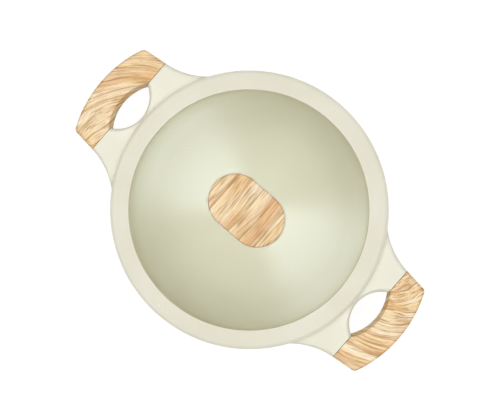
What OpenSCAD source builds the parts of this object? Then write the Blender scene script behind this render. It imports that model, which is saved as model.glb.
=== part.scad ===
// Two-handled casserole pot with a domed glass lid, a silicone lid rim and wood-look grips and knob.
// Millimetres. Z = 0 is the surface that the pot stands on, Z is the pot's axis and X runs along
// the two handles. Left is -X, right is +X, front is -Y and back is +Y.

/* [Pot] */
// Height from the underside to the top of the rim
pot_h = 105; // [85:1:130]
// Diameter of the mouth, where the lid's skirt goes in
mouth_d = 240; // [200:1:290]
// Width of the rim's thickened lip
lip_w = 6; // [5:0.5:9]
// Height of the rim's thickened lip
lip_h = 9; // [6:1:16]
// Thickness of the wall below the lip
wall_t = 4; // [3:0.25:6]
// Thickness of the floor
floor_t = 6; // [4:0.5:9]
// Draft of the wall, in degrees
wall_draft = 1.7; // [0.5:0.1:4]
// Radius between the floor and the wall, inside
floor_fillet_r = 21; // [10:1:28]

/* [Base disc] */
// Width of the cast ring between the induction disc and the base's rounded corner
base_land = 6.5; // [3:0.5:12]
// Thickness of the induction disc
disc_t = 1.2; // [0.8:0.1:2]
// Diameter of the disc's perforations, which the casting fills
perf_d = 5; // [3:0.5:7]
// Radius of the innermost ring of perforations
perf_ring_r = 28; // [20:1:32]
// Distance between the rings of perforations
perf_ring_step = 24; // [14:1:26]
// Number of perforations in the innermost ring, and added in each next ring
perf_count = 8; // [6:1:12]
// Least distance from a perforation's middle to the disc's edge
perf_edge = 12; // [6:1:20]

/* [Lugs] */
// Length of a lug from the pot's rim to the seam with its grip
lug_len = 19.2; // [15:0.2:24]
// Width of a handle at the seam
handle_w = 104; // [86:1:126]
// Width of each of a handle's two arms at the seam
arm_w = 26.3; // [23:0.1:32]
// Width of metal between the rim and the finger gap
lug_bridge = 4.2; // [3:0.2:8]
// Angle at which the handle narrows away from the pot, in degrees
flare = 6.5; // [2:0.5:10]
// Thickness of the lugs and of the grips
handle_t = 16; // [14.5:0.5:22]
// How far the handles' top lies below the rim
handle_drop = 1.5; // [0.5:0.25:4]

/* [Grips] */
// Depth of the finger gap in the grip
gap_grip_depth = 8; // [4:0.5:12]
// Length of a grip from the seam to its outer edge, on the axis
grip_len = 35; // [31:0.5:45]
// Radius of a grip's outer edge, seen from above
grip_edge_r = 118; // [90:1:160]
// Radius of a grip's two corners, seen from above
grip_corner_r = 4.5; // [2:0.5:8]
// Gap at the seam between lug and grip
seam_gap = 0.5; // [0.2:0.1:1]

/* [Tangs and grip screws] */
// Length of a tang beyond the seam
tang_len = 17.5; // [15:0.5:20]
// Width of a tang
tang_w = 13; // [11:0.5:15]
// Thickness of a tang
tang_t = 5; // [4:0.25:6]
// Clearance between a tang and its pocket
tang_clear = 0.2; // [0.1:0.05:0.4]
// Distance from the seam to a grip screw
grip_screw_x = 9.5; // [8:0.5:11]
// Thread diameter of a grip screw
grip_screw_d = 4; // [3:0.5:5]
// Head diameter of a grip screw
grip_head_d = 8; // [6.5:0.5:9]
// Head height of a grip screw
grip_head_h = 2.6; // [2:0.1:3]
// Thickness of a grip screw's spring washer
grip_washer_t = 1; // [0.8:0.1:1.2]
// Thickness of the grip between a screw's seat and the tang
seat_wall = 3; // [2:0.25:4]

/* [Lid glass] */
// How far the glass edge lies inside the mouth
glass_inset = 3; // [2:0.25:6]
// Thickness of the glass
glass_t = 4; // [3:0.25:5]
// Rise of the dome from its edge to its crown
dome_rise = 24; // [16:1:36]
// Diameter of the hole in the crown
glass_hole_d = 10; // [8:0.5:12]

/* [Lid rim] */
// Overhang of the silicone rim past the pot's rim
rim_overhang = 1; // [0.5:0.25:3]
// Width of glass that the rim's upper lip covers
rim_grip_w = 8.2; // [4:0.1:10]
// Thickness of the rim's lips over and under the glass
rim_lip_t = 1.6; // [1.2:0.1:3]
// Thickness of the rim's outer edge
rim_edge_t = 3.4; // [2.5:0.1:5]
// Depth of the plug skirt that hangs in the pot's mouth
skirt_h = 7; // [4:0.5:12]
// Thickness of the plug skirt
skirt_t = 3.5; // [2:0.25:5]
// Clearance between the plug skirt and the mouth
skirt_clear = 1.6; // [0.8:0.1:3]
// Width of a pouring slot in the skirt
slot_w = 5; // [3:0.5:8]
// Number of pouring slots on each side
slot_count = 3; // [1:1:7]
// Angle between neighbouring pouring slots, in degrees
slot_step = 5; // [4:0.5:8]
// Diameter of the dimples that mark the pouring sides
dimple_d = 2; // [1:0.25:3]
// Depth of the dimples
dimple_depth = 0.5; // [0.2:0.1:0.8]

/* [Knob] */
// Length of the wood-look plate
plate_l = 72; // [60:1:90]
// Width of the wood-look plate
plate_w = 48; // [40:1:60]
// Thickness of the wood-look plate
plate_t = 6; // [4:0.5:8]
// How far the plate stands out of its tray
plate_proud = 1; // [0.5:0.25:2]
// Width of the tray's border around the plate
tray_border = 1.3; // [1:0.1:3]
// Thickness of the tray under the plate
tray_t = 7; // [5:0.5:10]
// Height of the neck below the tray
neck_h = 15; // [10:1:22]
// Diameter of the neck at the tray
neck_d = 24; // [20:1:30]
// Diameter of the neck's foot on the glass
foot_d = 30; // [24:1:36]
// Height of the neck's foot
foot_h = 4; // [3:0.5:6]

/* [Knob fixings] */
// Thickness of the silicone gasket and of the bush's flange
gasket_t = 1.5; // [1:0.1:2.5]
// Diameter of the bush's flange under the glass
bush_flange_d = 24; // [18:1:28]
// Thread diameter of the knob screw
knob_screw_d = 5; // [4:0.5:6]
// Head diameter of the knob screw
knob_head_d = 10; // [8:0.5:12]
// Head height of the knob screw
knob_head_h = 3.2; // [2.5:0.1:4]
// How far the knob screw goes into the insert
screw_grip = 9; // [6:0.5:10.5]
// Diameter of the brass insert
insert_d = 9; // [8:0.5:11]
// Length of the brass insert
insert_l = 12; // [11:0.5:14]
// Diameter of the flat washer
washer_d = 20; // [14:1:24]
// Thickness of the flat washer and of its spring washer
washer_t = 1.2; // [0.8:0.1:1.6]
// Distance from an end of the plate to its screw
plate_screw_inset = 12; // [8:0.5:13]
// Thread diameter of a plate screw
plate_screw_d = 3; // [2:0.5:3.5]
// Head diameter of a plate screw
plate_head_d = 5.6; // [4.5:0.1:6]
// Head height of a plate screw
plate_head_h = 2; // [1.5:0.1:2.5]
// How far a plate screw goes into the plate
plate_screw_grip = 3.5; // [2.5:0.25:3.5]

/* [Hidden] */
$fn = 96;
dome_fn = 1440; // facets of the dome's circles, so that thin pieces on it keep its true curve
dimple_fn = 32; // facets of a dimple
eps = 0.01; // overlap of shapes that only touch
through = 1; // how far a cutting shape stands out of what it cuts
joined = 1; // depth to which cast features run into each other

// Colours
cream = [0.91, 0.89, 0.81];
silicone = [0.90, 0.88, 0.79];
wood_look = [0.93, 0.79, 0.60];
steel = [0.75, 0.75, 0.76];
brass = [0.80, 0.66, 0.36];
clear_glass = [0.80, 0.85, 0.80, 0.35];

// Pot wall: the inside leans in by the draft, from the mouth down to the floor
mouth_r = mouth_d / 2;
rim_r = mouth_r + lip_w;
lean = tan(wall_draft);
function inside_r(z) = mouth_r - (pot_h - z) * lean;
outer_fillet_r = floor_fillet_r + wall_t;
// Radius at which a cup's flat bottom meets its rounded corner
function flat_r(top_r, bottom_z, corner_r) =
    top_r - (pot_h - bottom_z - corner_r) * lean - corner_r / cos(wall_draft);
disc_r = flat_r(mouth_r + wall_t, 0, outer_fillet_r) - base_land;
perf_rings = floor((disc_r - perf_edge - perf_ring_r) / perf_ring_step) + 1;

// Handle, drawn on the +X side
handle_top = pot_h - handle_drop;
handle_bottom = handle_top - handle_t;
side_dir = [cos(flare), -sin(flare)];
side_out = [sin(flare), cos(flare)];
seam_x = rim_r + lug_len;
seam_corner = [seam_x, handle_w / 2];
// Radius of the hollow curve that runs from the pot's rim into the handle's straight side
lug_curve_r = (seam_corner * seam_corner - rim_r * rim_r) / (2 * (rim_r - seam_corner * side_out));
lug_curve_at = seam_corner + lug_curve_r * side_out;
// A circular arc's radius from its half chord and its depth
function arc_r(half, depth) = (half * half + depth * depth) / (2 * depth);
gap_half_w = handle_w / 2 - arm_w;
gap_lug_depth = lug_len - lug_bridge;
gap_lug_r = arc_r(gap_half_w, gap_lug_depth);
gap_grip_r = arc_r(gap_half_w, gap_grip_depth);
grip_edge_at = [seam_x + grip_len - grip_edge_r, 0];
// Centre of the arc that rounds a grip's corner: it touches the side and the outer edge from inside
corner_start = seam_corner - grip_corner_r * side_out - grip_edge_at;
corner_b = corner_start * side_dir;
corner_q = corner_start * corner_start - pow(grip_edge_r - grip_corner_r, 2);
corner_run = sqrt(corner_b * corner_b - corner_q) - corner_b;
corner_at = grip_edge_at + corner_start + corner_run * side_dir;
corner_on_edge = (corner_at - grip_edge_at) * grip_edge_r / (grip_edge_r - grip_corner_r) + grip_edge_at;
corner_on_side = corner_at + grip_corner_r * side_out;

// Tangs and their screws
tang_y = (handle_w - arm_w) / 2;
grip_screw_at = seam_x + grip_screw_x;
head_recess = 0.2; // how far a screw's head lies below the face around it
grip_bore_clear = 0.25; // around a grip screw's thread
grip_head_clear = 0.75; // around its head
thread_short = 0.5; // how far its end stays inside the tang
grip_seat_z = handle_bottom + head_recess + grip_head_h + grip_washer_t;
tang_bottom = grip_seat_z + seat_wall + tang_clear;
tang_top = tang_bottom + tang_t;

// Lid: the glass is a shell between two spheres about one centre
glass_r = mouth_r - glass_inset;
dome_r = arc_r(glass_r, dome_rise);
glass_edge_top = pot_h + rim_lip_t + glass_t / sqrt(1 - pow(glass_r / dome_r, 2));
dome_centre_z = glass_edge_top + dome_rise - dome_r;
crown_top = dome_centre_z + dome_r;
crown_bottom = crown_top - glass_t;
function dome_z(radius, r) = dome_centre_z + sqrt(radius * radius - r * r);
cover_r = rim_r + rim_overhang;
skirt_r = mouth_r - skirt_clear;
grip_inner_r = glass_r - rim_grip_w;
rim_lip_step = 1.5; // how much further out the lower lip ends than the upper one
rim_chamfer = 1.5; // on the rim's outer edge
dimple_inset = 2; // from the glass edge outwards to the dimples' middle
dimple_step = 2.5; // angle between dimples
dimple_count = 3; // on each side

// Knob
foot_z = crown_top + gasket_t;
tray_z = foot_z + neck_h;
plate_z = tray_z + tray_t;
tray_top = plate_z + plate_t - plate_proud;
flange_z = crown_bottom - gasket_t;
washer_z = flange_z - washer_t;
spring_z = washer_z - washer_t;
bush_clear = 0.25; // around the knob screw
insert_spare = 1; // how much deeper the insert's bore is than the screw goes
plate_bore_clear = 0.2; // around a plate screw's thread
plate_head_clear = 0.4; // around its head
plate_screw_x = plate_l / 2 - plate_screw_inset;
plate_seat_z = tray_z + head_recess + plate_head_h;

// Pan head: its shape as shares of the head's own diameter and height
pan_dome = 0.75;
pan_slot_long = 0.55;
pan_slot_wide = 0.13;
pan_slot_deep = 0.55;

// Spring washers: the split's angle, and how the ring lies between thread and head
split_angle = 12;
split_clear = 0.1;
split_inset = 0.3;

// A flat ring with a square section, between two radii
module ring(inner_r, outer_r, h) {
    difference() {
        cylinder(r = outer_r, h = h);
        translate([0, 0, -through]) cylinder(r = inner_r, h = h + 2 * through);
    }
}

// Half outline of a cup with a leaning wall and a rounded bottom corner, to be revolved.
// top_r is its radius at the rim; the corner's arc touches the bottom line and the wall.
module cup_outline(top_r, bottom_z, corner_r) {
    centre_z = bottom_z + corner_r;
    centre_r = flat_r(top_r, bottom_z, corner_r);
    touch = [centre_r + corner_r * cos(wall_draft), centre_z - corner_r * sin(wall_draft)];
    polygon([[0, bottom_z], [centre_r, bottom_z], [centre_r, centre_z], touch, [top_r, pot_h], [0, pot_h]]);
    intersection() {
        translate([centre_r, centre_z]) circle(r = corner_r);
        translate([centre_r - eps, bottom_z]) square([corner_r + through, corner_r]);
    }
}

// Plan of a lug: straight at the seam, with a hollow curve on each side that runs into the rim
module lug_plan() {
    difference() {
        polygon([
            [0, 0], [lug_curve_at[0], -lug_curve_at[1]], [seam_x, -handle_w / 2],
            seam_corner, lug_curve_at
        ]);
        for (side = [-1, 1])
            translate([lug_curve_at[0], side * lug_curve_at[1]]) circle(r = lug_curve_r);
        circle(r = inside_r(handle_bottom) + joined);
        translate([seam_x - gap_lug_depth + gap_lug_r, 0]) circle(r = gap_lug_r);
    }
}

// What rounding takes off one corner of a grip's plan
module corner_waste() {
    spread = 1.5; // enough to lie outside both of the corner's sides
    beyond = corner_at + spread * (corner_on_edge + corner_on_side - 2 * corner_at);
    difference() {
        polygon([corner_at, corner_on_edge, beyond, corner_on_side]);
        translate(corner_at) circle(r = grip_corner_r);
    }
}

// Plan of a grip
module grip_plan() {
    far = grip_len + grip_edge_r;
    far_corner = seam_corner + far * side_dir;
    near_corner = seam_corner + seam_gap * side_dir / side_dir[0];
    difference() {
        intersection() {
            polygon([
                [near_corner[0], -near_corner[1]], [far_corner[0], -far_corner[1]],
                far_corner, near_corner
            ]);
            translate(grip_edge_at) circle(r = grip_edge_r);
        }
        corner_waste();
        mirror([0, 1]) corner_waste();
        translate([seam_x + gap_grip_depth - gap_grip_r, 0]) circle(r = gap_grip_r);
    }
}

// Plan of a tang, grown by a clearance; it starts inside the lug
module tang_plan(grow) {
    width = tang_w + 2 * grow;
    tip_x = seam_x + tang_len + grow - width / 2;
    translate([seam_x - joined, tang_y - width / 2]) square([tip_x - seam_x + joined, width]);
    translate([tip_x, tang_y]) circle(r = width / 2);
}

// Places its children at the two tangs of the +X handle
module at_tangs() {
    children();
    mirror([0, 1, 0]) children();
}

// Pan head screw, head down: the head's bearing face is at z = 0 and the thread points up
module pan_screw(thread_d, thread_l, head_d, head_h) {
    dome = head_d * pan_dome;
    slot_long = head_d * pan_slot_long;
    slot_wide = head_d * pan_slot_wide;
    cylinder(d = thread_d, h = thread_l);
    difference() {
        translate([0, 0, -head_h]) rotate_extrude() intersection() {
            square([head_d / 2, head_h]);
            translate([0, dome]) circle(r = dome);
        }
        for (turn = [0, 90])
            rotate(turn) translate([-slot_long / 2, -slot_wide / 2, -head_h - through])
                cube([slot_long, slot_wide, head_h * pan_slot_deep + through]);
    }
}

// Split spring washer from z = 0 upwards, for a screw's thread and head
module spring_washer(thread_d, head_d, h) {
    inner_r = thread_d / 2 + split_clear;
    outer_r = head_d / 2 - split_inset;
    rotate(split_angle / 2) rotate_extrude(angle = 360 - split_angle)
        translate([inner_r, 0]) square([outer_r - inner_r, h]);
}

// Oblong with round ends along X
module oblong(l, w) {
    straight = l - w;
    square([straight, w], center = true);
    for (side = [-1, 1]) translate([side * straight / 2, 0]) circle(d = w);
}

// The casting that fills the disc's perforations
module perforations(h) {
    for (ring = [0:perf_rings - 1])
        for (i = [0:perf_count * (ring + 1) - 1])
            rotate(i * 360 / (perf_count * (ring + 1)))
                translate([perf_ring_r + ring * perf_ring_step, 0, 0]) cylinder(d = perf_d, h = h);
}

module pot_body() {
    color(cream) difference() {
        union() {
            rotate_extrude() difference() {
                union() {
                    cup_outline(mouth_r + wall_t, 0, outer_fillet_r);
                    translate([0, pot_h - lip_h]) square([rim_r, lip_h]);
                }
                cup_outline(mouth_r, floor_t, floor_fillet_r);
                translate([0, pot_h - eps]) square([mouth_r, through]);
            }
            for (side = [0, 1]) mirror([side, 0, 0]) {
                translate([0, 0, handle_bottom]) linear_extrude(handle_t) lug_plan();
                at_tangs() translate([0, 0, tang_bottom]) linear_extrude(tang_t) tang_plan(0);
            }
        }
        difference() {
            translate([0, 0, -through]) cylinder(r = disc_r, h = disc_t + through);
            translate([0, 0, -2 * through]) perforations(disc_t + 4 * through);
        }
        for (side = [0, 1]) mirror([side, 0, 0]) at_tangs()
            translate([grip_screw_at, tang_y, tang_bottom - through])
                cylinder(d = grip_screw_d, h = tang_t + 2 * through);
    }
}

module base_disc() {
    color(steel) difference() {
        cylinder(r = disc_r, h = disc_t);
        translate([0, 0, -through]) perforations(disc_t + 2 * through);
    }
}

// A grip on the +X side
module grip() {
    color(wood_look) difference() {
        translate([0, 0, handle_bottom]) linear_extrude(handle_t) grip_plan();
        at_tangs() {
            translate([0, 0, tang_bottom - tang_clear])
                linear_extrude(tang_t + 2 * tang_clear) tang_plan(tang_clear);
            translate([grip_screw_at, tang_y, handle_bottom - through]) {
                cylinder(d = grip_head_d + 2 * grip_head_clear, h = grip_seat_z - handle_bottom + through);
                cylinder(d = grip_screw_d + 2 * grip_bore_clear, h = tang_bottom - handle_bottom + through);
            }
        }
    }
}

// Screw or washer of one tang: x_side is 1 on the right and -1 on the left, y_side is 1 at the back
module grip_screw(x_side, y_side) {
    thread_l = tang_top - grip_seat_z + grip_washer_t - thread_short;
    color(steel) translate([x_side * grip_screw_at, y_side * tang_y, grip_seat_z - grip_washer_t])
        pan_screw(grip_screw_d, thread_l, grip_head_d, grip_head_h);
}

module grip_washer(x_side, y_side) {
    color(steel) translate([x_side * grip_screw_at, y_side * tang_y, grip_seat_z - grip_washer_t])
        spring_washer(grip_screw_d, grip_head_d, grip_washer_t);
}

// Half section of the glass, to be revolved
module glass_outline() {
    intersection() {
        translate([0, dome_centre_z]) difference() {
            circle(r = dome_r, $fn = dome_fn);
            circle(r = dome_r - glass_t, $fn = dome_fn);
        }
        translate([glass_hole_d / 2, pot_h]) square([glass_r - glass_hole_d / 2, 2 * dome_rise]);
    }
}

module lid_glass() {
    color(clear_glass) rotate_extrude() glass_outline();
}

module lid_rim() {
    lip_top = dome_z(dome_r, grip_inner_r) + rim_lip_t;
    shoulder_top = glass_edge_top + rim_lip_t;
    lower_lip_r = grip_inner_r + rim_lip_step;
    lower_lip_z = dome_z(dome_r - glass_t, lower_lip_r);
    // Height of the rim's upper face where the dimples are
    dimple_top = shoulder_top + (pot_h + rim_edge_t - shoulder_top) * dimple_inset
        / (cover_r - rim_chamfer - glass_r);
    dimple_floor = dimple_top - dimple_depth;
    color(silicone) difference() {
        rotate_extrude() difference() {
            polygon([
                [grip_inner_r, lower_lip_z + glass_t / 2], [grip_inner_r, lip_top],
                [glass_r, shoulder_top], [cover_r - rim_chamfer, pot_h + rim_edge_t],
                [cover_r, pot_h + rim_edge_t - rim_chamfer], [cover_r, pot_h], [skirt_r, pot_h],
                [skirt_r, pot_h - skirt_h], [skirt_r - skirt_t, pot_h - skirt_h],
                [skirt_r - skirt_t, pot_h], [lower_lip_r, lower_lip_z - rim_lip_t],
                [lower_lip_r, lower_lip_z + glass_t / 2]
            ]);
            glass_outline();
        }
        for (side = [-90, 90]) {
            for (i = [0:slot_count - 1])
                rotate(side + (i - (slot_count - 1) / 2) * slot_step)
                    translate([skirt_r - skirt_t - through, -slot_w / 2, pot_h - skirt_h - through])
                        cube([skirt_t + 2 * through, slot_w, skirt_h]);
            for (i = [0:dimple_count - 1])
                rotate(side + (i - (dimple_count - 1) / 2) * dimple_step)
                    translate([glass_r + dimple_inset, 0, dimple_floor])
                        cylinder(d = dimple_d, h = shoulder_top + through - dimple_floor, $fn = dimple_fn);
        }
    }
}

module lid_bush() {
    bore_r = knob_screw_d / 2 + bush_clear;
    color(silicone) rotate_extrude() difference() {
        union() {
            translate([bore_r, flange_z]) square([glass_hole_d / 2 - bore_r, crown_top - flange_z]);
            translate([bore_r, flange_z])
                square([bush_flange_d / 2 - bore_r, crown_bottom - flange_z]);
        }
        glass_outline();
    }
}

module knob_gasket() {
    hole_r = knob_screw_d / 2 + bush_clear;
    color(silicone) rotate_extrude() difference() {
        translate([hole_r, crown_top - gasket_t]) square([foot_d / 2 - hole_r, 2 * gasket_t]);
        translate([0, dome_centre_z]) circle(r = dome_r, $fn = dome_fn);
        square([glass_hole_d / 2, crown_top]);
    }
}

module knob_base() {
    color(cream) difference() {
        union() {
            translate([0, 0, foot_z]) cylinder(d = foot_d, h = foot_h);
            translate([0, 0, foot_z]) cylinder(d = neck_d, h = neck_h + joined);
            translate([0, 0, tray_z]) linear_extrude(tray_top - tray_z)
                oblong(plate_l + 2 * tray_border, plate_w + 2 * tray_border);
        }
        translate([0, 0, plate_z]) linear_extrude(plate_t) oblong(plate_l, plate_w);
        translate([0, 0, foot_z - through]) cylinder(d = insert_d, h = insert_l + through);
        for (side = [-1, 1]) translate([side * plate_screw_x, 0, tray_z - through]) {
            cylinder(d = plate_head_d + 2 * plate_head_clear, h = plate_seat_z - tray_z + through);
            cylinder(d = plate_screw_d + 2 * plate_bore_clear, h = tray_t + 2 * through);
        }
    }
}

module knob_plate() {
    color(wood_look) difference() {
        translate([0, 0, plate_z]) linear_extrude(plate_t) oblong(plate_l, plate_w);
        for (side = [-1, 1]) translate([side * plate_screw_x, 0, plate_z - through])
            cylinder(d = plate_screw_d, h = plate_screw_grip + through);
    }
}

module knob_insert() {
    color(brass) translate([0, 0, foot_z]) difference() {
        cylinder(d = insert_d, h = insert_l);
        translate([0, 0, -through]) cylinder(d = knob_screw_d, h = screw_grip + insert_spare + through);
    }
}

module knob_screw() {
    color(steel) translate([0, 0, spring_z])
        pan_screw(knob_screw_d, foot_z + screw_grip - spring_z, knob_head_d, knob_head_h);
}

module knob_washer() {
    color(steel) translate([0, 0, washer_z])
        ring(knob_screw_d / 2 + bush_clear, washer_d / 2, washer_t);
}

module knob_spring_washer() {
    color(steel) translate([0, 0, spring_z])
        spring_washer(knob_screw_d, knob_head_d, washer_t);
}

module plate_screw(side) {
    color(steel) translate([side * plate_screw_x, 0, plate_seat_z])
        pan_screw(plate_screw_d, plate_z + plate_screw_grip - plate_seat_z, plate_head_d, plate_head_h);
}

pot_body();
base_disc();
mirror([1, 0, 0]) grip();  // grip_left
grip();  // grip_right
grip_screw(-1, -1);  // grip_screw_left_front
grip_screw(-1, 1);  // grip_screw_left_back
grip_screw(1, -1);  // grip_screw_right_front
grip_screw(1, 1);  // grip_screw_right_back
grip_washer(-1, -1);  // grip_washer_left_front
grip_washer(-1, 1);  // grip_washer_left_back
grip_washer(1, -1);  // grip_washer_right_front
grip_washer(1, 1);  // grip_washer_right_back
lid_glass();
lid_rim();
lid_bush();
knob_gasket();
knob_base();
knob_plate();
knob_insert();
knob_screw();
knob_washer();
knob_spring_washer();
plate_screw(-1);  // plate_screw_left
plate_screw(1);  // plate_screw_right
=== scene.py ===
"""Two-handled casserole pot with a glass lid, wood-look grips and a cream coating.

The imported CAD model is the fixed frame. Sub-assemblies below build the pieces that show, dress
them in procedural finishes and set them on the frame's bodies. Metres throughout.
"""

import logging
import math
from dataclasses import dataclass
from enum import Enum
from typing import Any, Optional, Sequence, Union

import bmesh
import bpy
import numpy as np
from mathutils import Matrix, Vector

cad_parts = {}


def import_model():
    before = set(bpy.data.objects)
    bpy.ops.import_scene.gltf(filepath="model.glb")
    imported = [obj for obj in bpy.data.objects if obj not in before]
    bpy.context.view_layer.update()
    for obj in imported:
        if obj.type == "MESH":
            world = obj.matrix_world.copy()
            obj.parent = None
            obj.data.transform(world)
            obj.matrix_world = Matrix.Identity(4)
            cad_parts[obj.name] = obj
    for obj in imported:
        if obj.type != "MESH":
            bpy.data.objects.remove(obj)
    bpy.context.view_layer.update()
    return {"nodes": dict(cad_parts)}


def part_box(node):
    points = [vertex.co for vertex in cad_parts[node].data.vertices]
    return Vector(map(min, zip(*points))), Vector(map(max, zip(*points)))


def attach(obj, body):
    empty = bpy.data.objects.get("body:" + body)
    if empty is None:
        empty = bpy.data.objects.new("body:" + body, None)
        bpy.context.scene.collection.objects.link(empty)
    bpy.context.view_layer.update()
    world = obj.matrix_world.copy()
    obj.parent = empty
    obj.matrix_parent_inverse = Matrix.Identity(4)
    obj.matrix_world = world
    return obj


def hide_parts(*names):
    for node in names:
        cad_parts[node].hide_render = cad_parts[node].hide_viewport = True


log = logging.getLogger("casserole")

MM = 0.001
MERGE = 2e-6
Number = Union[float, "Value"]
Row = Sequence[tuple[float, float]]


class Slot(Enum):
    """The record's material slots, which the log names for the pieces built here."""

    COATING = "ceramic_coated_body"
    WOOD = "wood_look"
    GLASS = "tempered_glass"
    SILICONE = "silicone"
    RESIN = "knob_plastic"


class Body(Enum):
    """The frame's moving bodies."""

    POT = "pot"
    LID = "lid"


# Node trees


class Value:
    """A number that a node gives, with the arithmetic that adds Math nodes."""

    def __init__(self, nodes: "Nodes", socket: bpy.types.NodeSocket) -> None:
        """Keeps the tree's builder and the output socket."""
        self.nodes = nodes
        self.socket = socket

    def maths(self, operation: str, *others: Number) -> "Value":
        """Adds a Math node fed by this value and up to two others.

        Args:
            operation: the Math node's operation.
            others: its further inputs.

        Returns:
            The node's result.
        """
        inputs = dict(enumerate((self, *others)))
        return self.nodes.add("ShaderNodeMath", {"operation": operation}, inputs).value()

    def __add__(self, other: Number) -> "Value":
        """self + other."""
        return self.maths("ADD", other)

    def __sub__(self, other: Number) -> "Value":
        """self - other."""
        return self.maths("SUBTRACT", other)

    def __rsub__(self, other: float) -> "Value":
        """other - self."""
        return (self * -1.0) + other

    def __mul__(self, other: Number) -> "Value":
        """self * other."""
        return self.maths("MULTIPLY", other)

    def __truediv__(self, other: Number) -> "Value":
        """self / other."""
        return self.maths("DIVIDE", other)

    def __pow__(self, other: Number) -> "Value":
        """self ** other."""
        return self.maths("POWER", other)

    __radd__ = __add__
    __rmul__ = __mul__

    def hypot(self, other: "Value") -> "Value":
        """The long side of a right triangle whose short sides are self and other."""
        return (self * self + other * other).maths("SQRT")

    def ramp(self, start: float, end: float, low: float = 0.0, high: float = 1.0) -> "Value":
        """A smooth step.

        Args:
            start: the value at which the result is low.
            end: the value at which the result is high.
            low: the result up to start.
            high: the result from end.

        Returns:
            The mapped value.
        """
        settings = {"interpolation_type": "SMOOTHSTEP"}
        inputs = {0: self, 1: start, 2: end, 3: low, 4: high}
        return self.nodes.add("ShaderNodeMapRange", settings, inputs).value()


class Added:
    """A node just added, with short ways to its outputs."""

    def __init__(self, nodes: "Nodes", node: bpy.types.Node) -> None:
        """Keeps the tree's builder and the node."""
        self.nodes = nodes
        self.node = node

    def out(self, name: Union[str, int] = 0) -> bpy.types.NodeSocket:
        """The output socket with that name or number."""
        return self.node.outputs[name]

    def value(self, name: Union[str, int] = 0) -> Value:
        """The output as a number."""
        return Value(self.nodes, self.node.outputs[name])


class Nodes:
    """Builds one node tree."""

    def __init__(self, tree: bpy.types.NodeTree) -> None:
        """Empties the tree."""
        self.tree = tree
        tree.nodes.clear()

    def add(self, kind: str, settings: dict[str, Any], inputs: dict[Any, Any]) -> Added:
        """Adds any node.

        Args:
            kind: the node's type.
            settings: its properties, which are set first.
            inputs: for each socket's name or number, a constant or what feeds it.

        Returns:
            The node.
        """
        node = self.tree.nodes.new(kind)
        for name, setting in settings.items():
            setattr(node, name, setting)
        for name, given in inputs.items():
            source = given.socket if isinstance(given, Value) else given
            if isinstance(source, bpy.types.NodeSocket):
                self.tree.links.new(source, node.inputs[name])
            else:
                node.inputs[name].default_value = given
        return Added(self, node)

    def blend(self, share: Number, first: Any, second: Any) -> bpy.types.NodeSocket:
        """Mixes two colours.

        Args:
            share: the second's share.
            first: a colour or what gives it.
            second: a colour or what gives it.

        Returns:
            The colour.
        """
        inputs = {0: share, 6: first, 7: second}
        return self.add("ShaderNodeMix", {"data_type": "RGBA"}, inputs).out(2)


def tone(red: float, green: float, blue: float) -> tuple[float, float, float, float]:
    """A display colour, from 0 to 255 a channel, as linear light."""

    def linear(level: float) -> float:
        """One channel as linear light."""
        share = level / 255.0
        return share / 12.92 if share <= 0.04045 else ((share + 0.055) / 1.055) ** 2.4

    return (linear(red), linear(green), linear(blue), 1.0)


class Paint(Nodes):
    """Builds a material from the piece's own Object coordinates."""

    def __init__(self, name: str) -> None:
        """Starts a material with the piece's Object coordinates; the shader and output are added
        later.
        """
        self.material = bpy.data.materials.new(name)
        self.material.use_nodes = True
        super().__init__(self.material.node_tree)
        self.place = self.add("ShaderNodeTexCoord", {}, {}).out("Object")

    def axes(self) -> tuple[Value, Value, Value]:
        """The place's three coordinates."""
        split = self.add("ShaderNodeSeparateXYZ", {}, {0: self.place})
        return split.value("X"), split.value("Y"), split.value("Z")

    def point(self, x: Number, y: Number, z: Number) -> bpy.types.NodeSocket:
        """A place put together from three numbers."""
        return self.add("ShaderNodeCombineXYZ", {}, {0: x, 1: y, 2: z}).out()

    def noise(self, scale: float, detail: float = 2.0, at: Any = None, rough: float = 0.5) -> Value:
        """Noise from 0 to 1.

        Args:
            scale: bumps in a metre.
            detail: how many finer layers it has.
            at: where it is read; the piece's own place if not given.
            rough: the finer layers' share.

        Returns:
            The noise.
        """
        inputs = {"Vector": at or self.place, "Scale": scale, "Detail": detail, "Roughness": rough}
        return self.add("ShaderNodeTexNoise", {}, inputs).value("Fac")

    def relief(self, height: Value, depth: float) -> bpy.types.NodeSocket:
        """A normal from a height map; depth is the height of one unit, in metres."""
        inputs = {"Strength": 1.0, "Distance": depth, "Height": height}
        return self.add("ShaderNodeBump", {}, inputs).out()

    def shader(self, **inputs: Any) -> Added:
        """The Principled shader; an underscore in a name stands for a space."""
        named = {name.replace("_", " "): given for name, given in inputs.items()}
        return self.add("ShaderNodeBsdfPrincipled", {}, named)

    def done(self, surface: Added) -> bpy.types.Material:
        """Ends the tree with the shader that shows."""
        self.add("ShaderNodeOutputMaterial", {}, {"Surface": surface.out()})
        return self.material

    def plain(self, **inputs: Any) -> bpy.types.Material:
        """Ends the tree with the Principled shader alone."""
        return self.done(self.shader(**inputs))


# Finishes


@dataclass(frozen=True)
class Bowl:
    """Where the pot's inside lies: a leaning wall, a round fillet and a floor."""

    mouth_r: float
    top: float
    lean: float
    floor: float
    fillet: float
    wall: float
    fade: float = 0.3 * MM

    def inside(self, paint: Paint) -> Value:
        """1 on the inside's surface and 0 on the outside's.

        Args:
            paint: the material that asks.

        Returns:
            The mask.
        """
        x, y, z = paint.axes()
        reach = x.hypot(y) + (self.top - z) * self.lean
        beyond = (reach - (self.mouth_r - self.fillet)).maths("MAXIMUM", 0.0)
        below = (self.floor + self.fillet - z).maths("MAXIMUM", 0.0)
        away = beyond.hypot(below) - (self.fillet + self.wall / 2.0)
        return away.ramp(self.fade, -self.fade)


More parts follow.
